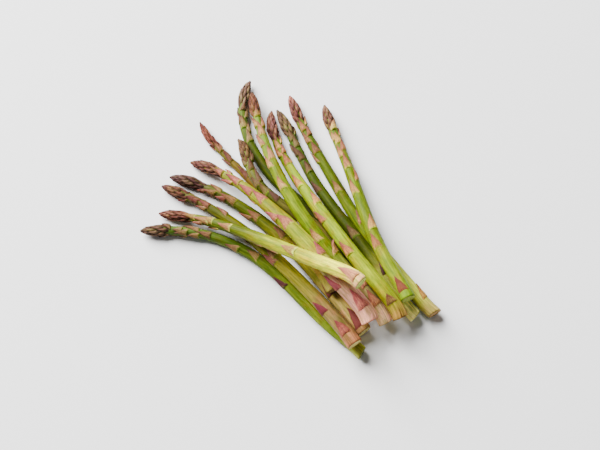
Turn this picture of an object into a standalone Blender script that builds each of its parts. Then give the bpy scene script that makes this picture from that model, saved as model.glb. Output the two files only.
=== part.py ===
"""A loose bunch of thirteen cut asparagus spears, lying one across another.

Each spear is one closed solid: a gently tapering stem with a flat cut at the
foot and a swollen, pointed bud tip.  The bunch runs along +Y from the cut ends
to the tips, +Z is up, and the origin is under the middle of the bunch.
Lengths are in metres, and headings are degrees anticlockwise from +X in plan.
"""

import math
from collections import namedtuple

import bmesh
import bpy
import numpy as np
from numpy.polynomial import legendre
from mathutils import Vector

MM = 0.001

# How a spear swells and narrows
BUD_LENGTH = 27 * MM          # bud tip, from the neck to the point
NECK_SHARE = 0.74             # narrowest part, just under the bud, as a share of the bud's width
POINT_WIDTH = 1.6 * MM        # blunt end of the bud
FOOT_FLARE = 0.05             # extra width right at the cut, as a share
FOOT_LENGTH = 14 * MM         # how far up the flare reaches

# How finely a spear is divided
SIDES = 12
STEM_RINGS = 25
BUD_RINGS = 9

# How spears settle on one another
SURFACE_GAP = 0.5 * MM        # clear space kept between two spears
STIFFNESS = (1.0, 1.0, 0.992, 0.98)   # share kept of height, tilt, bow and double bow
SETTLE_DROP = 0.06 * MM       # fall per step
SETTLE_STEPS = 1200

GREENS = {
    "bright": (0.27, 0.40, 0.035),
    "deep": (0.12, 0.26, 0.02),
    "olive": (0.24, 0.27, 0.03),
    "pale": (0.46, 0.50, 0.15),
    "rosy": (0.42, 0.36, 0.16),
}

# One spear, laid on those before it.  foot is the middle of the cut end, width
# its thickness, bud the thickness of the bud tip; headings are the way it points
# at the foot, quarter, half, three quarters and tip; slant is how far the cut is
# off square, in degrees.
Spear = namedtuple("Spear", "foot length width bud headings slant green")
SPEARS = [
    # flat on the surface: the right-hand edge, its neighbour and the left-hand edge
    Spear((40.5, -123), 219, 11.0, 9.6, (90, 92, 84, 82, 69), -18, "olive"),
    Spear((28, -115.5), 206, 10.4, 9.6, (104, 87, 89, 80, 90), 6, "deep"),
    Spear((-23, -115), 212, 10.4, 10.0, (107, 98, 105, 130, 145), 16, "deep"),
    Spear((-12, -102.5), 207, 12.8, 10.2, (94, 93, 101, 113, 135), 6, "olive"),
    Spear((13, -75.5), 212, 10.8, 9.8, (82, 95, 98, 75, 27), 0, "deep"),
    Spear((-14.5, -63.5), 182, 9.6, 6.8, (81, 87, 91, 98, 77), 0, "rosy"),
    Spear((2.5, -64), 155, 10.8, 9.8, (91, 92, 111, 81, 94), 0, "olive"),
    Spear((6.5, -106), 225, 12.2, 9.6, (87, 96, 85, 73, 61), 6, "bright"),
    Spear((16, -111.5), 208, 12.4, 9.4, (85, 92, 87, 82, 46), 5, "bright"),
    Spear((-26, -108), 207, 12.0, 9.8, (88, 96, 100, 110, 123), 0, "olive"),
    Spear((-5.5, -101.5), 202, 14.4, 9.8, (94, 94, 96, 104, 127), 8, "bright"),
    Spear((28, -104.5), 182, 11.2, 9.8, (79, 78, 71, 74, 66), 0, "bright"),
    Spear((1, -78.5), 177, 11.6, 9.6, (107, 117, 115, 124, 139), 5, "pale"),
]


def smooth_step(x):
    """0 below 0, 1 above 1, and an even slope between."""
    x = np.clip(x, 0.0, 1.0)
    return x * x * (3 - 2 * x)


def ring_stations(length):
    """Distances from the cut end at which the spear has a ring."""
    neck = length - BUD_LENGTH
    stem = np.linspace(0, neck, STEM_RINGS)
    bud = neck + BUD_LENGTH * np.linspace(0, 0.985, BUD_RINGS + 1)[1:]
    return np.concatenate([stem, bud])


def radius_at(spear, along):
    """Half thickness of the spear at distances along it from the cut end."""
    neck = spear.length * MM - BUD_LENGTH
    foot = spear.width * MM / 2
    bud_half = spear.bud * MM / 2
    neck_half = bud_half * NECK_SHARE
    up = along / neck
    stem = foot + (neck_half - foot) * (0.55 * up + 0.45 * smooth_step(2 * up - 1))
    stem = stem * (1 + FOOT_FLARE * (1 - smooth_step(along / FOOT_LENGTH)))
    bud = (along - neck) / BUD_LENGTH
    swell = neck_half + (bud_half - neck_half) * smooth_step(bud / 0.35)
    point = np.sqrt(np.clip(1 - np.clip((bud - 0.3) / 0.7, 0, 1) ** 1.7, 0, 1))
    return np.where(bud < 0, stem, np.maximum(swell * point, POINT_WIDTH / 2))


def plan_line(spear, along):
    """Where the middle of the spear runs, seen from above."""
    quarters = np.linspace(0, 1, len(spear.headings))
    bend = np.polyfit(quarters, np.radians(spear.headings), len(quarters) - 1)
    fine = np.linspace(0, spear.length * MM, 400)
    heading = np.polyval(bend, fine / fine[-1])
    step = fine[1] - fine[0]
    mid_heading = (heading[1:] + heading[:-1]) / 2
    x = spear.foot[0] * MM + np.concatenate([[0], np.cumsum(np.cos(mid_heading) * step)])
    y = spear.foot[1] * MM + np.concatenate([[0], np.cumsum(np.sin(mid_heading) * step)])
    return np.stack([np.interp(along, fine, x), np.interp(along, fine, y)], axis=1)


def clearance(plan, radius, laid):
    """Lowest height of each ring's middle that clears the surface and all spears laid so far."""
    lowest = radius.copy()
    for middles, below_radius in laid:
        reach = radius[:, None] + below_radius[None, :] + SURFACE_GAP
        apart = np.linalg.norm(plan[:, None] - middles[None, :, :2], axis=2)
        rise = np.sqrt(np.clip(reach ** 2 - apart ** 2, 0, None))
        over = np.where(apart < reach, middles[None, :, 2] + rise, 0)
        lowest = np.maximum(lowest, over.max(axis=1))
    return lowest


def settle(along, lowest):
    """Let a stiff spear down by its weight until what lies below holds it.

    Its height is a low, smooth curve.  Each step drops it, pushes back the
    stations that touch, and lets its stiffness take a little of the bow out.
    """
    share = 2 * along / along[-1] - 1
    to_bends = np.linalg.pinv(legendre.legvander(share, len(STIFFNESS) - 1))
    height = np.full_like(along, lowest.max())
    for _ in range(SETTLE_STEPS):
        pushed = np.maximum(height - SETTLE_DROP, lowest)
        height = legendre.legval(share, STIFFNESS * (to_bends @ pushed))
    return height + (lowest - height).max()


def lay_spears():
    """Centreline and radius of every spear at even, fine stations, bottom of the pile first."""
    laid = []
    for spear in SPEARS:
        along = np.linspace(0, spear.length * MM, 121)
        plan = plan_line(spear, along)
        radius = radius_at(spear, along)
        height = settle(along, clearance(plan, radius, laid))
        laid.append((np.column_stack([plan, height]), radius))
    return laid


def spear_mesh(name, spear, middles):
    """Closed tube along the centreline: flat slanted foot, rings, and a point."""
    even = np.linspace(0, spear.length * MM, len(middles))
    along = ring_stations(spear.length * MM)
    centre = np.stack([np.interp(along, even, middles[:, axis]) for axis in range(3)], axis=1)
    radius = radius_at(spear, along)
    forward = np.gradient(centre, along, axis=0)

    bm = bmesh.new()
    rings = []
    for index, (point, half, ahead) in enumerate(zip(centre, radius, forward)):
        ahead = Vector(ahead).normalized()
        side = Vector((ahead.y, -ahead.x, 0)).normalized()
        top = side.cross(ahead)
        lean = math.tan(math.radians(spear.slant)) if index == 0 else 0.0
        ring = []
        for step in range(SIDES):
            turn = 2 * math.pi * step / SIDES
            across = half * math.cos(turn)
            spot = Vector(point) + side * across + top * (half * math.sin(turn))
            ring.append(bm.verts.new(spot + ahead * (lean * across)))
        rings.append(ring)
    for low, high in zip(rings, rings[1:]):
        for step in range(SIDES):
            after = (step + 1) % SIDES
            bm.faces.new((low[step], low[after], high[after], high[step]))
    bm.faces.new(rings[0])
    bm.faces.new(rings[-1])
    bmesh.ops.recalc_face_normals(bm, faces=bm.faces)

    mesh = bpy.data.meshes.new(name)
    bm.to_mesh(mesh)
    bm.free()
    mesh.shade_smooth()
    mesh.set_sharp_from_angle(angle=math.radians(50))
    return mesh


def skin_material(name, colour):
    material = bpy.data.materials.new(name)
    material.use_nodes = True
    shader = material.node_tree.nodes["Principled BSDF"]
    shader.inputs["Base Color"].default_value = (*colour, 1)
    shader.inputs["Roughness"].default_value = 0.42
    shader.inputs["Metallic"].default_value = 0.0
    return material


def stand_on_origin(objects):
    """Move the bunch so that the middle of its footprint is at the origin, resting on z = 0."""
    corners = np.array([vertex.co[:] for piece in objects for vertex in piece.data.vertices])
    low, high = corners.min(axis=0), corners.max(axis=0)
    shift = Vector((-(low[0] + high[0]) / 2, -(low[1] + high[1]) / 2, -low[2]))
    for piece in objects:
        for vertex in piece.data.vertices:
            vertex.co += shift


for leftover in list(bpy.data.objects):
    bpy.data.objects.remove(leftover, do_unlink=True)

spear_objects = []
for number, (spear, (middles, _)) in enumerate(zip(SPEARS, lay_spears()), start=1):
    name = f"spear_{number:02d}"
    mesh = spear_mesh(name, spear, middles)
    mesh.materials.append(skin_material(f"{name}_skin", GREENS[spear.green]))
    piece = bpy.data.objects.new(name, mesh)
    bpy.context.collection.objects.link(piece)
    spear_objects.append(piece)
stand_on_origin(spear_objects)
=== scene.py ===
import math

import bpy
import numpy as np
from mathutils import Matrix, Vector
from numpy.polynomial import chebyshev


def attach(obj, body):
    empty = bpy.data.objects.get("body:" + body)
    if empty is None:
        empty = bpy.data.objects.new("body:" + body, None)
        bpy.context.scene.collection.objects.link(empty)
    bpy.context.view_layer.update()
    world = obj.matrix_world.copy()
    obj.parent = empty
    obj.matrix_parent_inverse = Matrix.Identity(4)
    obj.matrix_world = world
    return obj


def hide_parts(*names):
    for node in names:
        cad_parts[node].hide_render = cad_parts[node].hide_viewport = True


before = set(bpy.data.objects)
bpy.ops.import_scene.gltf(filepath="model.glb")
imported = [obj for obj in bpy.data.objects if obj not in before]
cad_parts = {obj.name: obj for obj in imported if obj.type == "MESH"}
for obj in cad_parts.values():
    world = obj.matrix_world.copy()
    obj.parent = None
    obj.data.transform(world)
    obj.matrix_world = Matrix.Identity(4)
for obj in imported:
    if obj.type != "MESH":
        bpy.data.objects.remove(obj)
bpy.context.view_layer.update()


# ---------------------------------------------------------------- stems
# Each spear is one young shoot of the asparagus plant, a firm green stem about as
# thick as a finger.  It grew in one piece and was cut across at the foot with a
# knife, so the foot shows a pale, stringy round of flesh inside a thin skin.
SPEARS = [f"spear_{number:02d}" for number in range(1, 14)]

# lengths here and below are in metres
STEM_SIDES = 48
STEM_RINGS = 150
CUT_RINGS = 9
USUAL_HALF = 0.006      # half thickness of a middling stem, by which its markings are laid out
LUMP = 0.00044          # slow swelling along the stem
RIB = 0.00014           # fine ridges that run up the stem
BEVEL_REACH = 0.0012    # the skin turns in towards the cut over this length
BEVEL_DEPTH = 0.00025
CRACK_REACH = 0.010     # how far the drying cracks run up from the cut
SLANT_REACH = 0.016     # over this length the rings lean over to follow a slanting cut
CUT_PLANE = 0.0002      # nearer to the foot than this is the cut face
CUT_DISH = 0.0009       # how far the flesh has shrunk back inside the skin
CUT_ROUGHNESS = 0.0016  # how uneven the knife left the flesh
BUD_CORE = 0.0013       # how much thinner the stem is inside the head
HEAD_EDGE = (-0.002, 0.004)     # it thins from 4 mm below the head to 2 mm inside it
TIP_CORE = 0.0003       # the least half thickness of the stem, right at its tip
CAD_SIDES = 12          # corners in each ring of a spear's solid
FIT_DEGREE = 7          # how freely the middle line of a spear may bend
FIT_ROUNDS = 8
FIT_POINTS = 1500
COURSE_POINTS = 121


class Field:
    """A number running through a node tree, so that a sum can be written as a sum."""

    def __init__(self, tree, socket):
        self.tree = tree
        self.socket = socket

    def maths(self, operation, *others):
        made = self.tree.nodes.new("ShaderNodeMath")
        made.operation = operation
        for slot, value in zip(made.inputs, (self, *others)):
            feed(self.tree, slot, value)
        return Field(self.tree, made.outputs[0])

    def __add__(self, other):
        return self.maths("ADD", other)

    def __sub__(self, other):
        return self.maths("SUBTRACT", other)

    def __mul__(self, other):
        return self.maths("MULTIPLY", other)

    def __pow__(self, other):
        return self.maths("POWER", other)

    def __rsub__(self, other):
        return self * -1 + other

    __radd__ = __add__
    __rmul__ = __mul__

    def cos(self):
        return self.maths("COSINE")

    def sin(self):
        return self.maths("SINE")

    def ramp(self, low, high, out_low=0.0, out_high=1.0):
        """out_low up to low, out_high from high on, and an easy curve between."""
        made = self.tree.nodes.new("ShaderNodeMapRange")
        made.interpolation_type = "SMOOTHSTEP"
        for slot, value in zip(made.inputs, (self, low, high, out_low, out_high)):
            feed(self.tree, slot, value)
        return Field(self.tree, made.outputs[0])


def feed(tree, slot, value):
    """Link a field or socket to a slot, or set the slot to a plain value."""
    if isinstance(value, Field):
        value = value.socket
    if isinstance(value, bpy.types.NodeSocket):
        tree.links.new(value, slot)
    else:
        slot.default_value = value


def step(tree, kind, values=None, **settings):
    """Add one node, with its settings and what goes into its sockets."""
    made = tree.nodes.new(kind)
    for key, value in settings.items():
        setattr(made, key, value)
    for slot, value in (values or {}).items():
        feed(tree, made.inputs[slot], value)
    return made


def vector(tree, x, y, z):
    return step(tree, "ShaderNodeCombineXYZ", {0: x, 1: y, 2: z}).outputs[0]


def parts(tree, socket):
    split = step(tree, "ShaderNodeSeparateXYZ", {0: socket})
    return [Field(tree, part) for part in split.outputs]


def vector_maths(tree, operation, first, second):
    """One sum on two vectors, or on a vector and the number that scales it."""
    second_slot = "Scale" if operation == "SCALE" else 1
    made = step(tree, "ShaderNodeVectorMath", operation=operation)
    feed(tree, made.inputs[0], first)
    feed(tree, made.inputs[second_slot], second)
    return made.outputs[0]


def drawn_out(tree, straight, share):
    """Places on a stem with their lengths cut to a share, so that a pattern is drawn out along it."""
    return vector_maths(tree, "MULTIPLY", straight, (1, 1, share))


def noise(tree, where, scale, detail=2.0, roughness=0.5):
    """Smooth noise about 0 that seldom goes past 0.2 either way."""
    made = step(tree, "ShaderNodeTexNoise", {"Vector": where, "Scale": scale, "Detail": detail,
                                             "Roughness": roughness})
    return Field(tree, made.outputs[0]) - 0.5


def store(tree, geometry, name, value, kind="FLOAT"):
    made = step(tree, "GeometryNodeStoreNamedAttribute", {"Geometry": geometry, "Name": name},
                data_type=kind, domain="POINT")
    feed(tree, made.inputs["Value"], value)
    return made.outputs[0]


def stored(tree, name):
    made = step(tree, "GeometryNodeInputNamedAttribute", {"Name": name}, data_type="FLOAT")
    return Field(tree, made.outputs[0])


def geometry_tree(name, inputs):
    """An empty tree with a geometry going in and out and the named inputs given as kinds."""
    tree = bpy.data.node_groups.new(name, "GeometryNodeTree")
    tree.interface.new_socket("Geometry", in_out="INPUT", socket_type="NodeSocketGeometry")
    tree.interface.new_socket("Geometry", in_out="OUTPUT", socket_type="NodeSocketGeometry")
    for label, kind in inputs.items():
        tree.interface.new_socket(label, in_out="INPUT", socket_type=f"NodeSocket{kind}")
    given = {socket.name: socket for socket in tree.nodes.new("NodeGroupInput").outputs}
    return tree, given


def finish_tree(tree, geometry, material):
    """Make real, smooth and coloured whatever the tree has built.

    Bending a shape round a course turns it inside out, so its faces are turned back here.
    """
    real = step(tree, "GeometryNodeRealizeInstances", {"Geometry": geometry}).outputs[0]
    outward = step(tree, "GeometryNodeFlipFaces", {"Mesh": real}).outputs[0]
    smooth = step(tree, "GeometryNodeSetShadeSmooth", {"Geometry": outward}).outputs[0]
    coloured = step(tree, "GeometryNodeSetMaterial", {"Geometry": smooth, "Material": material})
    out = tree.nodes.new("NodeGroupOutput")
    feed(tree, out.inputs[0], coloured.outputs[0])


def grow(name, source, tree, values):
    """Run the tree on a source object and keep what it makes as a plain mesh object."""
    maker = bpy.data.objects.new(name + "_maker", source)
    bpy.context.collection.objects.link(maker)
    modifier = maker.modifiers.new("grow", "NODES")
    modifier.node_group = tree
    for item in tree.interface.items_tree:
        if item.in_out == "INPUT" and item.name in values:
            modifier[item.identifier] = values[item.name]
    maker.update_tag()
    bpy.context.view_layer.update()
    ready = maker.evaluated_get(bpy.context.evaluated_depsgraph_get())
    mesh = bpy.data.meshes.new_from_object(ready)
    mesh.name = name
    bpy.data.objects.remove(maker)
    piece = bpy.data.objects.new(name, mesh)
    bpy.context.collection.objects.link(piece)
    return piece


def course(node):
    """Middle line and half thickness of a spear, at even steps from the cut to the point.

    A smooth curve is fitted to the corners of the solid.  Each corner's place along it is then
    the nearest point of the curve, and after a few rounds the two agree.
    """
    corners = np.array([corner.co[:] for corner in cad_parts[node].data.vertices])
    corners = np.unique(np.round(corners, 6), axis=0)
    centred = corners - corners.mean(axis=0)
    lengthways = np.linalg.svd(centred, full_matrices=False)[2][0]
    lengthways *= np.sign(lengthways[1])
    along = centred @ lengthways
    ticks = np.linspace(-1, 1, FIT_POINTS)
    for _ in range(FIT_ROUNDS):
        share = 2 * (along - along.min()) / np.ptp(along) - 1
        fits = [chebyshev.chebfit(share, corners[:, axis], FIT_DEGREE) for axis in range(3)]
        line = np.stack([chebyshev.chebval(ticks, fit) for fit in fits], axis=1)
        steps = np.linalg.norm(np.diff(line, axis=0), axis=1)
        reach = np.concatenate([[0], np.cumsum(steps)])
        apart = np.linalg.norm(corners[:, None] - line[None], axis=2)
        along = reach[apart.argmin(axis=1)]
    order = along.argsort()
    ring_along = along[order].reshape(-1, CAD_SIDES).mean(axis=1)
    ring_half = apart.min(axis=1)[order].reshape(-1, CAD_SIDES).mean(axis=1)
    even = np.linspace(ring_along[0], ring_along[-1], COURSE_POINTS)
    middles = np.stack([np.interp(even, reach, line[:, axis]) for axis in range(3)], axis=1)
    return middles, np.interp(even, ring_along, ring_half), even[-1] - even[0]


def course_curve(node):
    """The spear's middle line as a curve that carries its half thickness as radius."""
    middles, half, length = course(node)
    curve = bpy.data.curves.new(node + "_course", "CURVE")
    curve.dimensions = "3D"
    curve.twist_mode = "Z_UP"
    line = curve.splines.new("POLY")
    line.points.add(len(middles) - 1)
    line.points.foreach_set("co", np.column_stack([middles, np.ones(len(middles))]).ravel())
    line.points.foreach_set("radius", half)
    return curve, length


def along_course(tree, curve, along):
    """Half thickness, middle, and the forward, right and up directions at a distance along."""
    radius = step(tree, "GeometryNodeInputRadius").outputs[0]
    sample = step(tree, "GeometryNodeSampleCurve",
                  {"Curves": curve, "Value": radius, "Length": along},
                  mode="LENGTH", data_type="FLOAT")
    half, middle, forward, right = sample.outputs
    up = vector_maths(tree, "CROSS_PRODUCT", right, forward)
    return Field(tree, half), middle, forward, right, up


def put_round(tree, sampled, turn, height, ahead):
    """A place at a turn about the spear, a height from its middle, and a little ahead."""
    _, middle, forward, right, up = sampled
    sideways = vector_maths(tree, "SCALE", right, turn.cos() * height)
    upward = vector_maths(tree, "SCALE", up, turn.sin() * height)
    onward = vector_maths(tree, "SCALE", forward, ahead)
    place = vector_maths(tree, "ADD", middle, sideways)
    place = vector_maths(tree, "ADD", place, upward)
    return vector_maths(tree, "ADD", place, onward)


def stem_tree():
    """A straight rod bent along the spear's course, with its swellings, ridges, cracks and cut."""
    tree, given = geometry_tree("Stem", {"Length": "Float", "Slant": "Float", "Split": "Float",
                                         "Head": "Float", "Seed": "Float", "Skin": "Material"})
    rod = step(tree, "GeometryNodeMeshCylinder",
               {"Vertices": STEM_SIDES, "Side Segments": STEM_RINGS, "Fill Segments": CUT_RINGS,
                "Radius": 1.0, "Depth": 1.0},
               fill_type="TRIANGLE_FAN")
    x, y, z = parts(tree, tree.nodes.new("GeometryNodeInputPosition").outputs[0])
    length = Field(tree, given["Length"])
    seed = Field(tree, given["Seed"])
    share = z + 0.5
    along = share * length
    rim = (x * x + y * y) ** 0.5
    turn = y.maths("ARCTAN2", x)

    straight = vector(tree, x * USUAL_HALF, y * USUAL_HALF, along + seed)
    rod = store(tree, rod.outputs[0], "straight", straight, "FLOAT_VECTOR")
    rod = store(tree, rod, "along", along)
    rod = store(tree, rod, "rim", rim)
    rod = store(tree, rod, "share", share)

    sampled = along_course(tree, given["Geometry"], along)
    from_tip = length - along
    covered = (from_tip - Field(tree, given["Head"])).ramp(*HEAD_EDGE, 1.0, 0.0)
    core = sampled[0] - covered * sampled[0].maths("MINIMUM", BUD_CORE)

    slow = noise(tree, vector_maths(tree, "MULTIPLY", straight, (60, 60, 1)), 45.0, 1.0)
    rib_place = drawn_out(tree, straight, 0.02)
    ribs = noise(tree, rib_place, 1100.0, 1.0)
    near_foot = along.ramp(0.0, CRACK_REACH, 1.0, 0.0)
    cracks = noise(tree, rib_place, 520.0, 0.0).maths("ABSOLUTE").ramp(0.0, 0.06, 1.0, 0.0)
    split = Field(tree, given["Split"]) * near_foot * cracks
    bevel = along.ramp(0.0, BEVEL_REACH, BEVEL_DEPTH, 0.0)
    side = (core + slow * LUMP + ribs * RIB - split - bevel).maths("MAXIMUM", TIP_CORE)
    height = side * rim

    slope = Field(tree, given["Slant"]).maths("TANGENT")
    lean = slope * x * core * along.ramp(0.0, SLANT_REACH, 1.0, 0.0)
    on_cut = along.ramp(0.0, CUT_PLANE, 1.0, 0.0)
    rough = noise(tree, straight, 520.0, 3.0, 0.6) * CUT_ROUGHNESS
    dish = rim.ramp(0.45, 0.97, 1.0, 0.0) * CUT_DISH
    ahead = lean + on_cut * (dish + rough * rim.ramp(0.8, 1.0, 1.0, 0.35))
    placed = step(tree, "GeometryNodeSetPosition",
                  {"Geometry": rod, "Position": put_round(tree, sampled, turn, height, ahead)})
    finish_tree(tree, placed.outputs[0], given["Skin"])
    return tree


def paint(red, green, blue):
    """A colour given as 0 to 255 screen values, as the light-proportional values Blender wants."""
    shares = [value / 255 for value in (red, green, blue)]
    return (*[s / 12.92 if s <= 0.04045 else ((s + 0.055) / 1.055) ** 2.4 for s in shares], 1.0)


def mix(tree, share, first, second, how="MIX"):
    """The first colour where share is 0, and the second, or both multiplied, where it is 1."""
    made = step(tree, "ShaderNodeMix", data_type="RGBA", blend_type=how)
    feed(tree, made.inputs[0], share)
    feed(tree, made.inputs[6], first)
    feed(tree, made.inputs[7], second)
    return made.outputs[2]


def tint(tree, share, colour, red, green, blue):
    """The colour with its red, green and blue multiplied, where share says so."""
    return mix(tree, share, colour, (red, green, blue, 1), "MULTIPLY")


def read(tree, name, output="Fac"):
    made = step(tree, "ShaderNodeAttribute", attribute_name=name)
    return Field(tree, made.outputs[output])


def colour_along(tree, where, stops):
    """A colour that changes along a number, from (place, colour) stops."""
    made = step(tree, "ShaderNodeValToRGB", {0: where})
    made.color_ramp.interpolation = "EASE"
    band = made.color_ramp.elements
    while len(band) < len(stops):
        band.new(0.5)
    for element, (place, colour) in zip(band, sorted(stops)):
        element.position = place
        element.color = paint(*colour)
    return made.outputs[0]


FAINT_GLOSS = 0.07
DRIED_BROWN = (62, 34, 18)


def plain_material(name):
    """A Principled material with no colour or roughness given yet, its tree and its shader."""
    material = bpy.data.materials.new(name)
    material.use_nodes = True
    tree = material.node_tree
    shader = tree.nodes["Principled BSDF"]
    shader.inputs["Specular IOR Level"].default_value = FAINT_GLOSS
    return material, tree, shader


def let_light_in(shader, share, reach):
    """How much light enters the flesh, and how far its red, green and blue travel there."""
    shader.inputs["Subsurface Weight"].default_value = share
    shader.inputs["Subsurface Radius"].default_value = reach
    shader.inputs["Subsurface Scale"].default_value = 1.0


def emboss(tree, shader, relief, strength, depth):
    """Make the surface catch the light as if the relief stood up from it."""
    bump = step(tree, "ShaderNodeBump", {"Strength": strength, "Distance": depth, "Height": relief})
    feed(tree, shader.inputs["Normal"], bump.outputs["Normal"])


def stem_skin(name, stops, cut_colour, edge_colour, dryness):
    """Living skin: streaks that run up the stem, pale flecks, and the cut face with its strings."""
    material, tree, shader = plain_material(name)
    straight = read(tree, "straight", "Vector").socket
    share = read(tree, "share")
    rim = read(tree, "rim")
    along = read(tree, "along")

    # the green of the skin, with long streaks, clouds, scuffs, flecks and a blush laid over it
    patch = noise(tree, straight, 160.0, 3.0)
    green = colour_along(tree, share + patch * 0.05, stops)
    streak = noise(tree, drawn_out(tree, straight, 0.035), 850.0, 4.0, 0.65)
    green = tint(tree, streak.ramp(0.0, 0.14), green, 1.34, 1.32, 1.25)
    green = tint(tree, streak.ramp(-0.14, 0.0, 1.0, 0.0), green, 0.68, 0.74, 0.62)
    cloud = noise(tree, drawn_out(tree, straight, 0.22), 430.0, 3.0, 0.6)
    green = tint(tree, cloud.ramp(0.0, 0.13), green, 1.28, 1.24, 1.15)
    green = tint(tree, cloud.ramp(-0.13, 0.0, 1.0, 0.0), green, 0.72, 0.82, 0.62)
    scuff = noise(tree, drawn_out(tree, straight, 0.4), 620.0, 3.0, 0.65)
    green = tint(tree, scuff.ramp(0.13, 0.20, 0.0, 0.75), green, 0.86, 0.52, 0.6)
    fleck = noise(tree, drawn_out(tree, straight, 0.3), 2600.0, 1.0)
    green = tint(tree, fleck.ramp(0.13, 0.2, 0.0, 0.8), green, 1.4, 1.3, 1.8)
    blush = noise(tree, straight, 70.0, 2.0)
    green = tint(tree, blush.ramp(0.05, 0.2, 0.0, 0.9), green, 1.12, 0.8, 1.2)

    # brown lines in the drying cracks, in the same places as the cracks themselves
    cracked = noise(tree, drawn_out(tree, straight, 0.02), 520.0, 0.0)
    near_foot = (along + patch * 0.008).ramp(0.003, 0.011, 1.0, 0.0)
    dry = cracked.maths("ABSOLUTE").ramp(0.0, 0.07, dryness, 0.0) * near_foot
    green = mix(tree, dry, green, paint(*DRIED_BROWN))

    # the cut face: grainy flesh, dark ends of the strings, and a ring just inside the skin
    grain = noise(tree, straight, 700.0, 4.0, 0.65)
    flesh = tint(tree, grain.ramp(0.0, 0.14), paint(*cut_colour), 1.22, 1.2, 1.3)
    flesh = tint(tree, grain.ramp(-0.14, 0.0, 1.0, 0.0), flesh, 0.72, 0.72, 0.6)
    strings = step(tree, "ShaderNodeTexVoronoi", {"Vector": straight, "Scale": 1500.0}).outputs[0]
    string_ends = Field(tree, strings).ramp(0.14, 0.34, 0.8, 0.0) * rim.ramp(0.1, 0.5, 0.4, 1.0)
    flesh = tint(tree, string_ends, flesh, 0.42, 0.45, 0.3)
    ring = rim.ramp(0.72, 0.80) * rim.ramp(0.80, 0.9, 0.5, 0.0)
    flesh = tint(tree, ring, flesh, 0.7, 0.78, 0.5)
    flesh = mix(tree, (rim + grain * 0.2).ramp(0.86, 0.98), flesh, paint(*edge_colour))
    on_cut = along.ramp(0.0, 2 * CUT_PLANE, 1.0, 0.0)
    feed(tree, shader.inputs["Base Color"], mix(tree, on_cut, green, flesh))

    shine = streak.ramp(-0.2, 0.2, 0.42, 0.58)
    feed(tree, shader.inputs["Roughness"], shine + on_cut * 0.2)
    let_light_in(shader, 0.12, (0.0025, 0.002, 0.0006))
    emboss(tree, shader, streak * 0.6 + fleck * 0.25 + patch * 0.3, 0.35, 0.00035)
    return material


# how far along the spear each of the five skin colours below sits, from 0 at the foot
SKIN_PLACES = (0.0, 0.10, 0.35, 0.65, 0.86)

# foot slant in degrees, depth of drying cracks at the foot in metres, length of the head in mm,
# skin colours from foot to neck, colour of the cut flesh, colour of its rim.  The colours here
# and in LEAVES and BUDS were worked out by a separate program, and some then changed by hand.
STEMS = {
    "spear_01": (-18, 0.0003, 24, [(165, 142, 72), (165, 168, 48), (82, 94, 5), (68, 80, 11), (76, 92, 25)],
                 (206, 168, 112), (150, 104, 62)),
    # spear_02's foot colour is painted lighter than its skin is, to make up for the shade of the spears that
    # lie over its foot: painted light
    "spear_02": (6, 0, 23, [(250, 240, 130), (150, 150, 52), (49, 56, 6), (54, 64, 7), (65, 85, 25)],
                 (190, 194, 108), (120, 128, 60)),
    "spear_03": (16, 0, 22, [(158, 156, 60), (104, 118, 20), (81, 93, 8), (62, 76, 9), (62, 81, 25)],
                 (150, 154, 88), (84, 94, 44)),
    "spear_04": (6, 0, 30, [(142, 108, 58), (188, 158, 82), (128, 120, 32), (61, 68, 5), (70, 70, 26)],
                 (226, 212, 134), (176, 132, 86)),
    "spear_05": (0, 0, 23, [(134, 118, 49), (89, 99, 34), (60, 70, 15), (50, 62, 5), (73, 89, 27)],
                 (186, 180, 110), (104, 104, 58)),
    "spear_06": (0, 0, 24, [(165, 148, 62), (165, 150, 50), (102, 89, 34), (91, 68, 12), (88, 81, 30)],
                 (206, 184, 120), (122, 92, 64)),
    "spear_07": (0, 0, 23, [(134, 118, 49), (102, 100, 34), (98, 86, 36), (50, 54, 5), (88, 94, 30)],
                 (186, 180, 110), (104, 104, 58)),
    "spear_08": (6, 0.0003, 25, [(250, 205, 150), (138, 124, 70), (96, 112, 4), (94, 109, 4), (91, 110, 31)],
                 (232, 208, 128), (176, 124, 80)),
    "spear_09": (5, 0.001, 27, [(170, 128, 58), (137, 146, 14), (120, 137, 3), (126, 143, 3), (100, 115, 25)],
                 (164, 124, 82), (112, 78, 52)),
    "spear_10": (0, 0.0003, 22, [(146, 92, 60), (112, 92, 48), (112, 104, 20), (74, 74, 5), (70, 70, 26)],
                 (228, 212, 126), (156, 112, 72)),
    "spear_11": (8, 0, 30, [(240, 168, 138), (182, 128, 110), (126, 132, 20), (106, 110, 12), (109, 110, 32)],
                 (240, 232, 160), (206, 140, 104)),
    "spear_12": (0, 0, 22, [(100, 124, 10), (116, 128, 8), (91, 104, 3), (86, 103, 3), (87, 105, 27)],
                 (176, 188, 84), (112, 128, 44)),
    "spear_13": (5, 0, 26, [(208, 176, 104), (216, 210, 44), (136, 140, 6), (66, 75, 3), (82, 88, 22)],
                 (212, 222, 118), (140, 166, 56)),
}

stems = stem_tree()
courses = {}
for number, name in enumerate(SPEARS):
    slant, split, head, skin_colours, cut_colour, edge_colour = STEMS[name]
    courses[name] = course_curve(name)
    skin = stem_skin(name + "_skin", list(zip(SKIN_PLACES, skin_colours)),
                     cut_colour, edge_colour, min(1.0, split * 1000))
    stem = grow(name + "_stem", courses[name][0], stems,
                {"Length": courses[name][1], "Slant": math.radians(slant), "Split": split,
                 "Head": head * 0.001, "Seed": 0.37 * number, "Skin": skin})
    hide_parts(name)
    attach(stem, "root")


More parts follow.
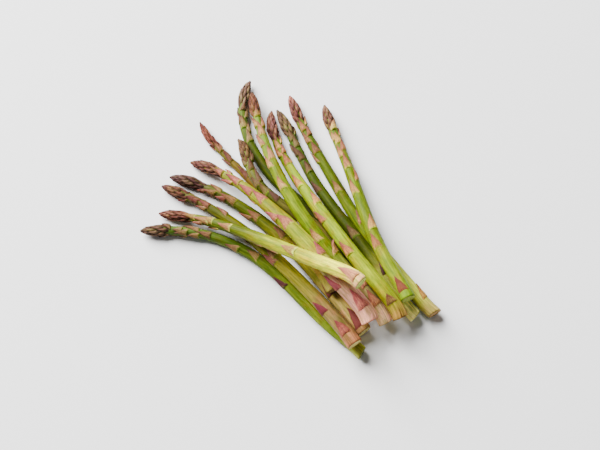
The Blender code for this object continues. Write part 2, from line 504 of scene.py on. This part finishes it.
# ---------------------------------------------------------------- scale leaves
# At each joint of the stem sits one papery, three-cornered scale leaf.  It grew out
# of the stem along its straight lower edge and lies flat against it, point upwards.
LEAF_COLUMNS = 11
LEAF_ROWS = 12
LEAF_THICKNESS = 0.0005
ROW_CROWDING = 1.35     # above 1, the rows of a scale crowd towards its lower edge
BLUNT_POINT = 0.015     # width left at the very point, as a share of the width of the base
CORNER_SAG = -0.10      # how far the corners of the lower edge hang down, as a share of the length
POINT_SWING = 0.7       # how readily a point swings to one side
MIDRIB = 0.00012        # extra height along the middle of a scale


def scale_tree(name, columns, rows):
    """Closed thin scales, one for each point, wrapped round the spear's course."""
    tree, given = geometry_tree(name, {"Course": "Object", "Thickness": "Float", "Waist": "Float",
                                       "Taper": "Float", "Inset": "Float", "Skin": "Material"})
    block = step(tree, "GeometryNodeMeshCube", {"Size": (2, 1, 1), "Vertices X": columns,
                                                "Vertices Y": rows, "Vertices Z": 2})
    across, upward, through = parts(tree, tree.nodes.new("GeometryNodeInputPosition").outputs[0])
    shape = store(tree, block.outputs[0], "across", across)
    shape = store(tree, shape, "upward", (upward + 0.5) ** ROW_CROWDING)
    shape = store(tree, shape, "outer", through + 0.5)
    scales = step(tree, "GeometryNodeInstanceOnPoints",
                  {"Points": given["Geometry"], "Instance": shape}).outputs[0]
    scales = step(tree, "GeometryNodeRealizeInstances", {"Geometry": scales}).outputs[0]

    across = stored(tree, "across")
    upward = stored(tree, "upward")
    outer = stored(tree, "outer")
    start = stored(tree, "start")
    turn = stored(tree, "turn")
    length = stored(tree, "length")
    spread = stored(tree, "spread")
    lift = stored(tree, "lift")
    bulge = stored(tree, "bulge")
    ledge = stored(tree, "ledge")
    ident = stored(tree, "ident")

    # the outline: three-cornered or leaf-shaped, with a worn edge that is different on each scale
    frayed = noise(tree, vector(tree, across * 0.7, upward * 5, ident * 7.3), 1.0, 2.0)
    ragged = noise(tree, vector(tree, across * 2.5, upward * 11, ident * 3.7), 1.0, 1.0)
    waist = Field(tree, given["Waist"])
    full = 1 - upward ** Field(tree, given["Taper"])
    worn = 1 + frayed * 0.4 + ragged * 0.25
    outline = full * (waist + (1 - waist) * upward.ramp(0.0, 0.4)) * worn + BLUNT_POINT
    sag = across * across * (1 - upward) * CORNER_SAG
    along = start + length * (upward * (1 + frayed * 0.05) + sag + ragged * 0.03)

    course_here = step(tree, "GeometryNodeObjectInfo", {"Object": given["Course"]}).outputs["Geometry"]
    sampled = along_course(tree, course_here, along)
    near_tip = sampled[0].maths("MINIMUM", Field(tree, given["Inset"]))
    ground = sampled[0] - near_tip
    swing = noise(tree, vector(tree, ident * 3.1, upward * 1.5, 2.0), 1.0, 1.0) * POINT_SWING * upward
    round_about = turn + across * outline * spread + swing

    # the height above the stem: a soft swelling, a lifted point, and a ledge at the lower edge
    middle = 1 - across * across
    puff = bulge * middle * (upward ** 0.6 * math.pi).sin().maths("MAXIMUM", 0.0)
    curl = lift * upward ** 2.0 * (0.4 + 0.6 * middle + frayed * 0.8)
    rise = upward.ramp(0.0, 0.14, -0.00035, 0.0002)
    collar = upward.ramp(0.03, 0.16, 1.0, 0.0) * (0.3 + 0.7 * middle) * ledge
    top = ground + puff + curl + rise + collar + middle * MIDRIB
    thickness = Field(tree, given["Thickness"]) * (0.45 + 0.55 * middle) * (1.1 - 0.6 * upward)
    under = top - thickness - 0.0002 * (1 - upward)
    height = under + (top - under) * outer
    placed = step(tree, "GeometryNodeSetPosition",
                  {"Geometry": scales, "Position": put_round(tree, sampled, round_about, height, 0.0)})
    finish_tree(tree, placed.outputs[0], given["Skin"])
    return tree


def scale_points(name, rows):
    """Loose points that carry, for each scale, where it sits and how it is shaped.

    start, length: metres along the spear.  turn, spread: radians round it, spread to each side.
    lift, bulge, ledge: metres that the point, the middle and the lower edge stand up.
    late: how far up the spear, 0 to 1.  ident: sets its own pattern.  tone: 0 plain to 1 stained.
    """
    mesh = bpy.data.meshes.new(name)
    mesh.from_pydata([(row["start"], 0, 0) for row in rows], [], [])
    for key in rows[0]:
        carried = mesh.attributes.new(key, "FLOAT", "POINT")
        carried.data.foreach_set("value", [row[key] for row in rows])
    return mesh


def scale_skin(name, joint_and_painted_shade, foot, middle, neck, tip, margin, reach):
    """Papery scale: pale where it leaves the stem, mottled and darker towards its point; a bud scale's lower
    part is painted shade instead.
    """
    material, tree, shader = plain_material(name)
    across = read(tree, "across")
    upward = read(tree, "upward")
    tone = read(tree, "tone")
    ident = read(tree, "ident")
    late = read(tree, "late")

    # the body's colour for this stretch of the spear, over the paler or darker joint at a leaf's lower edge;
    # on a bud scale the lower part is painted shade, where the scales above overlap it
    where = vector(tree, across * 3.0, upward * 1.6, ident * 5.0)
    mottle = noise(tree, where, 2.2, 4.0, 0.6)
    body = colour_along(tree, late, [(0.12, foot), (0.35, middle), (0.75, middle), (0.92, neck)])
    lower_joint_and_painted_shade = mix(tree, late.ramp(0.1, 0.3), body, paint(*joint_and_painted_shade))
    colour = mix(tree, (upward + mottle * 0.25).ramp(reach * 0.4, reach), lower_joint_and_painted_shade, body)

    # some scales greener and some redder, each lighter below and darker above
    warmth = tone + mottle * 0.9
    colour = tint(tree, warmth.ramp(0.0, 0.4, 1.0, 0.0), colour, 1.12, 1.3, 0.92)
    colour = tint(tree, warmth.ramp(0.35, 0.75), colour, 0.84, 0.69, 0.80)
    climb = upward + mottle * 0.8
    colour = tint(tree, climb.ramp(0.05, 0.42, 1.0, 0.0), colour, 1.16, 1.32, 1.1)
    colour = tint(tree, climb.ramp(0.3, 0.75), colour, 0.74, 0.60, 0.68)

    # veins that run towards the point, and specks
    veins = noise(tree, vector(tree, across * 11.0, upward * 0.9, ident * 5.0), 1.6, 3.0, 0.6)
    colour = tint(tree, veins.ramp(0.0, 0.15, 0.0, 0.85), colour, 0.60, 0.44, 0.56)
    colour = tint(tree, veins.ramp(-0.15, 0.0, 1.0, 0.0), colour, 1.36, 1.38, 1.4)
    speck = noise(tree, vector(tree, across * 7.0, upward * 5.0, ident * 5.0), 1.5, 2.0)
    colour = tint(tree, speck.ramp(0.03, 0.15, 0.0, 0.85), colour, 0.45, 0.38, 0.42)
    colour = tint(tree, speck.ramp(-0.15, -0.02, 0.9, 0.0), colour, 1.4, 1.4, 1.25)

    # the dried point and margins, blots, and the wine-dark leaves, whose tone is 1
    point = (upward + mottle * 0.55).ramp(0.62, 1.02, 0.0, 0.9)
    colour = mix(tree, point, colour, paint(*tip))
    edge = (across * across + mottle * 0.7).ramp(0.62, 1.0, 0.0, 0.6) * upward.ramp(0.15, 0.5)
    colour = mix(tree, edge, colour, paint(*margin))
    blot = noise(tree, where, 1.1, 2.0) + tone * 0.3
    colour = mix(tree, blot.ramp(0.08, 0.42, 0.0, 0.6), colour, paint(*tip))
    stain = tone.ramp(0.95, 1.0, 0.0, 0.8) * (blot + upward).ramp(0.1, 0.5)
    colour = mix(tree, stain, colour, paint(*tip))
    feed(tree, shader.inputs["Base Color"], colour)

    feed(tree, shader.inputs["Roughness"], mottle.ramp(-0.25, 0.25, 0.42, 0.66))
    let_light_in(shader, 0.08, (0.002, 0.001, 0.0006))
    emboss(tree, shader, veins + mottle * 0.6, 0.5, 0.0003)
    return material


# colours of a scale leaf at its lower edge, of its body at the foot, middle and neck of the
# spear, and of its point and margins
LEAVES = {
    "spear_01": ((119, 129, 21), (186, 145, 55), (121, 87, 57), (187, 135, 81), (89, 57, 44)),
    "spear_02": ((84, 99, 30), (89, 71, 42), (90, 70, 43), (111, 94, 60), (59, 37, 31)),
    "spear_03": ((84, 95, 28), (83, 45, 36), (110, 82, 50), (113, 91, 57), (58, 20, 30)),
    "spear_04": ((101, 99, 34), (120, 61, 50), (107, 74, 48), (93, 70, 44), (112, 56, 50)),
    "spear_05": ((93, 105, 30), (85, 66, 44), (120, 95, 63), (111, 89, 55), (67, 45, 34)),
    "spear_06": ((106, 95, 36), (96, 68, 44), (96, 64, 46), (150, 102, 71), (85, 44, 39)),
    "spear_07": ((102, 110, 30), (87, 68, 44), (88, 70, 40), (90, 72, 44), (69, 45, 34)),
    "spear_08": ((144, 141, 46), (179, 112, 84), (156, 112, 72), (122, 89, 48), (93, 47, 50)),
    "spear_09": ((158, 154, 42), (123, 86, 54), (168, 108, 65), (214, 170, 102), (100, 59, 51)),
    "spear_10": ((106, 106, 34), (121, 59, 55), (126, 91, 62), (73, 54, 36), (93, 33, 41)),
    "spear_11": ((150, 141, 48), (188, 111, 94), (150, 94, 70), (139, 89, 66), (122, 52, 60)),
    "spear_12": ((142, 141, 42), (117, 71, 35), (156, 110, 67), (204, 164, 100), (108, 55, 50)),
    "spear_13": ((180, 170, 81), (222, 168, 108), (131, 99, 54), (115, 87, 53), (157, 93, 79)),
}

# where the leaves of the upper side sit: distance from the foot in mm, turn about the spear in
# degrees (90 is straight up), then the length and the height of a curled point in mm where
# they aren't the usual ones.  Most distances and turns were worked out by a separate program,
# from points picked by eye, and the others were added or changed by hand.
LEAF_PLACES = {
    "spear_01": [(14, 40), (46, 150), (92, 60), (124, 110), (155, 180), (162, 100), (173, 135),
                 (184, 100)],
    "spear_02": [(40, 60), (78, 100), (126, 130), (145, 85), (162, 135), (169, 80), (176, 95)],
    "spear_03": [(38, 30), (80, 145), (111, 85), (129, 135), (154, 95), (164, 45), (173, 125)],
    "spear_04": [(4, 90, 19), (38, 110), (98, 70), (124, 95), (129, 170), (147, 95, 15), (162, 35),
                 (165, 135)],
    "spear_05": [(20, 80), (60, 130), (110, 60), (155, 70), (168, 100), (177, 20)],
    "spear_06": [(30, 80), (75, 120), (119, 85, 14), (139, 85), (151, 85)],
    "spear_07": [(24, 100), (60, 70), (88, 70), (98, 95), (110, 50, 14), (123, 75)],
    "spear_08": [(16, 90, 15), (32, 60), (66, 52, 10, 4.5), (81, 115), (132, 115), (153, 150),
                 (159, 80, 14), (174, 145), (183, 95, 14), (191, 30)],
    "spear_09": [(13, 105, 9), (62, 125, 14), (96, 145), (112, 60), (133, 120, 14), (156, 85),
                 (165, 140), (172, 100)],
    "spear_10": [(10, 105, 14), (33, 140), (90, 150), (93, 85), (147, 40), (163, 80), (173, 100)],
    "spear_11": [(12, 90, 18), (35, 165, 15), (62, 55), (97, 100, 15), (109, 150), (128, 80, 14),
                 (141, 105, 15), (156, 85, 15), (162, 170)],
    "spear_12": [(6, 110, 14), (47, 115, 14), (64, 70), (98, 125, 14), (109, 30), (122, 95, 14),
                 (133, 130), (138, 55), (145, 85)],
    "spear_13": [(5, 95, 16), (58, 95), (120, 100), (141, 100, 14), (153, 85)],
}

# the leaves that have gone wine-dark nearly all over
STAINED = {("spear_02", 40), ("spear_03", 80), ("spear_04", 4), ("spear_04", 38), ("spear_07", 88),
           ("spear_10", 33), ("spear_11", 35)}

# the leaves of the far side and of the neck, in mm and degrees
FAR_STRETCH = 26        # between two of the leaves above there is one more for each such stretch
FAR_LEAST = 9           # and one more where they are farther apart than this
FAR_SIDE = 270          # straight down
FAR_SCATTER = 100
NECK = 26               # below the head the leaves crowd together over this length
NECK_FIRST = 2.5        # the first of them sits this far below the head
NECK_STEP = 2.4         # from one to the next, and more the farther they are from the head
NECK_STEP_GROWTH = 0.14
NECK_SHORTEST = 7.0     # length of a leaf right below the head
NECK_LONGER = 3.0       # how much longer they are at the end of the neck
NECK_CLEAR = 3.5        # leaves nearer than this along the neck have to be well apart around it
NECK_CLEAR_TURN = 70
SPIRAL = 137.5          # turn from one scale to the next, as the plant grows them

USUAL_LENGTH = 0.0135   # length of a leaf at the foot, in metres
SHORTER = 0.0035        # how much shorter they are at the top

leaf_tree = scale_tree("Scale leaves", LEAF_COLUMNS, LEAF_ROWS)
course_objects = {}
for number, name in enumerate(SPEARS):
    curve, length = courses[name]
    course_objects[name] = bpy.data.objects.new(name + "_course", curve)
    bpy.context.collection.objects.link(course_objects[name])
    chance = np.random.default_rng(100 + number)
    places = list(LEAF_PLACES[name])
    ends = [0] + [place[0] for place in places] + [length * 1000 - STEMS[name][2]]
    for low, high in zip(ends, ends[1:]):
        count = int((high - low) / FAR_STRETCH) + (high - low > FAR_LEAST)
        for spot in np.linspace(low, high, count + 2)[1:-1]:
            places.append((spot, FAR_SIDE + FAR_SCATTER * (chance.random() - 0.5)))
    neck = length * 1000 - STEMS[name][2]
    spot = neck - NECK_FIRST
    turn = 360 * chance.random()
    while spot > neck - NECK:
        if all(abs(spot - place[0]) > NECK_CLEAR
               or abs((turn - place[1] + 180) % 360 - 180) > NECK_CLEAR_TURN for place in places):
            places.append((spot, turn, NECK_SHORTEST + NECK_LONGER * (neck - spot) / NECK))
        spot -= NECK_STEP + NECK_STEP_GROWTH * (neck - spot)
        turn = (turn + SPIRAL) % 360
    rows = []
    for place in places:
        start = place[0] * 0.001
        late = start / length
        usual = USUAL_LENGTH - SHORTER * late ** 2
        rows.append({
            "start": start,
            "turn": math.radians(place[1]),
            "late": late,
            "length": place[2] * 0.001 if len(place) > 2 else usual,
            "spread": 0.78 + 0.2 * chance.random() + 0.12 * late,
            "lift": place[3] * 0.001 if len(place) > 3 else 0.0004 + 0.0009 * chance.random(),
            "bulge": 0.0003 + 0.0011 * late ** 4 + 0.0003 * chance.random(),
            "ledge": 0.0005 * chance.random() ** 2,
            "ident": 40 * chance.random(),
            "tone": 1.0 if (name, place[0]) in STAINED else 0.9 * chance.random(),
        })
    skin = scale_skin(name + "_leaf", *LEAVES[name], LEAVES[name][-1], 0.15)
    leaves = grow(name + "_leaves", scale_points(name + "_leaf_points", rows), leaf_tree,
                  {"Course": course_objects[name], "Thickness": LEAF_THICKNESS, "Waist": 1.0,
                   "Taper": 1.2, "Inset": 0.0, "Skin": skin})
    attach(leaves, "root")


# ---------------------------------------------------------------- bud tips
# The head of a spear is a tight bud of the same scales, forty or so laid over one
# another like roof tiles, each with a small side bud swelling under it.
BUD_COLUMNS = 5
BUD_ROWS = 6
BUD_THICKNESS = 0.0006
BUD_INSET = 0.0012      # how deep in the head the scales are rooted
BUD_OVERLAP = 0.005     # the lowest scales start this far below the head
BUD_TIP = 0.0010        # no scale starts nearer to the point than this
BUD_SCALE = 0.0100      # length of a full-sized scale
BUD_LEAST_STEP = 0.0003 # from one scale to the next at the point
BUD_STEP = 0.0007       # how much more it is at the bottom of the head

# colours of a bud scale's shaded lower part, of its body low and high on the head, of its
# point and of its papery margins
BUDS = {
    "spear_01": ((89, 56, 47), (124, 80, 68), (192, 129, 99), (46, 25, 19), (181, 112, 80)),
    "spear_02": ((91, 76, 50), (126, 106, 72), (95, 81, 66), (36, 20, 17), (149, 122, 78)),
    "spear_03": ((70, 54, 38), (112, 91, 62), (98, 74, 62), (26, 18, 13), (133, 106, 70)),
    "spear_04": ((65, 47, 38), (92, 67, 56), (88, 65, 58), (23, 11, 11), (121, 93, 61)),
    "spear_05": ((87, 71, 52), (121, 99, 74), (131, 99, 86), (38, 25, 20), (162, 128, 91)),
    "spear_06": ((98, 56, 44), (136, 80, 64), (114, 64, 58), (46, 25, 20), (164, 93, 72)),
    "spear_07": ((70, 50, 29), (98, 71, 43), (120, 101, 68), (31, 19, 11), (133, 107, 57)),
    "spear_08": ((78, 48, 31), (109, 69, 46), (104, 71, 48), (33, 17, 10), (138, 91, 50)),
    "spear_09": ((101, 65, 58), (140, 91, 82), (151, 115, 78), (44, 24, 17), (183, 124, 80)),
    "spear_10": ((74, 52, 34), (112, 79, 54), (119, 82, 74), (33, 17, 12), (142, 102, 66)),
    "spear_11": ((83, 56, 43), (116, 80, 62), (116, 77, 58), (38, 16, 13), (150, 91, 61)),
    "spear_12": ((85, 60, 44), (118, 85, 63), (164, 135, 96), (41, 26, 21), (175, 119, 82)),
    "spear_13": ((80, 50, 38), (122, 80, 60), (128, 84, 72), (34, 17, 16), (149, 102, 72)),
}

bud_tree = scale_tree("Bud scales", BUD_COLUMNS, BUD_ROWS)
for number, name in enumerate(SPEARS):
    length = courses[name][1]
    chance = np.random.default_rng(500 + number)
    head = STEMS[name][2] * 0.001
    # the first of the bud colours is painted shade on the lower part of each scale, where the scales above
    # overlap it
    painted_shade, low_body, high_body, tip, margin = BUDS[name]
    rows = []
    left = head + BUD_OVERLAP
    turn = 2 * math.pi * chance.random()
    while left > BUD_TIP:
        size = min(1.0, 0.36 + left / head)
        rows.append({
            "start": length - left,
            "turn": turn,
            "late": 1 - 0.5 * left / (head + BUD_OVERLAP),
            "length": min(BUD_SCALE * size * (0.9 + 0.25 * chance.random()), left * 1.02),
            "spread": 0.84 - 0.32 * size,
            "lift": (0.0007 + 0.0008 * chance.random()) * min(1.0, 1.5 * left / head),
            "bulge": 0.0008 * size,
            "ledge": 0.0,
            "ident": 40 * chance.random(),
            "tone": 0.9 * chance.random(),
        })
        left -= BUD_LEAST_STEP + BUD_STEP * left / head
        turn += math.radians(SPIRAL) + 0.2 * (chance.random() - 0.5)
    skin = scale_skin(name + "_bud_scale", painted_shade, low_body, low_body, high_body, tip, margin, 0.5)
    bud = grow(name + "_bud", scale_points(name + "_bud_points", rows), bud_tree,
               {"Course": course_objects[name], "Thickness": BUD_THICKNESS, "Waist": 0.7,
                "Taper": 1.9, "Inset": BUD_INSET, "Skin": skin})
    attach(bud, "root")

# the courses have served their turn
for name in SPEARS:
    bpy.data.objects.remove(course_objects[name])


# ---------------------------------------------------------------- table, light and camera
# The bunch lies on a plain white surface under a wide, soft light from the upper left.
# None of this belongs to the object.
AIM = Vector((0.0153, 0.0004, 0))
IMAGE_UP = math.radians(54)
LEAN = math.radians(18)
CAMERA_DISTANCE = 1.3333
FLOOR_HALF = 4
FLOOR_WHITE = (0.86, 0.86, 0.86, 1)
ROOM_WHITE = (1.0, 1.0, 1.0, 1)
ROOM_LIGHT = 0.15

floor_mesh = bpy.data.meshes.new("floor")
floor_corners = [(FLOOR_HALF * x, FLOOR_HALF * y, 0) for x, y in ((-1, -1), (1, -1), (1, 1), (-1, 1))]
floor_mesh.from_pydata(floor_corners, [], [(0, 1, 2, 3)])
floor = bpy.data.objects.new("floor", floor_mesh)
bpy.context.collection.objects.link(floor)
floor_look, _, floor_shader = plain_material("floor")
floor_shader.inputs["Base Color"].default_value = FLOOR_WHITE
floor_shader.inputs["Roughness"].default_value = 0.6
floor_mesh.materials.append(floor_look)

world = bpy.data.worlds.new("room")
bpy.context.scene.world = world
world.use_nodes = True
world.node_tree.nodes["Background"].inputs["Color"].default_value = ROOM_WHITE
world.node_tree.nodes["Background"].inputs["Strength"].default_value = ROOM_LIGHT


def soft_light(name, azimuth, height, distance, size, power):
    """A large round lamp at an azimuth and height in degrees, facing the bunch."""
    lamp = bpy.data.lights.new(name, "AREA")
    lamp.shape = "DISK"
    lamp.size = size
    lamp.energy = power
    light = bpy.data.objects.new(name, lamp)
    bpy.context.collection.objects.link(light)
    turn = math.radians(azimuth)
    rise = math.radians(height)
    towards = Vector((math.cos(rise) * math.cos(turn), math.cos(rise) * math.sin(turn), math.sin(rise)))
    light.location = AIM + distance * towards
    light.rotation_euler = (AIM - light.location).to_track_quat("-Z", "Y").to_euler()


soft_light("window", azimuth=98, height=38, distance=3.2, size=2.8, power=635)

camera_data = bpy.data.cameras.new("camera")
camera_data.lens = 100
camera_data.sensor_width = 36
camera = bpy.data.objects.new("camera", camera_data)
bpy.context.collection.objects.link(camera)
back = Vector((-math.sin(LEAN) * math.cos(IMAGE_UP), -math.sin(LEAN) * math.sin(IMAGE_UP),
               math.cos(LEAN)))
camera.location = AIM + CAMERA_DISTANCE * back
camera.rotation_euler = (LEAN, 0, IMAGE_UP - math.pi / 2)
bpy.context.scene.camera = camera
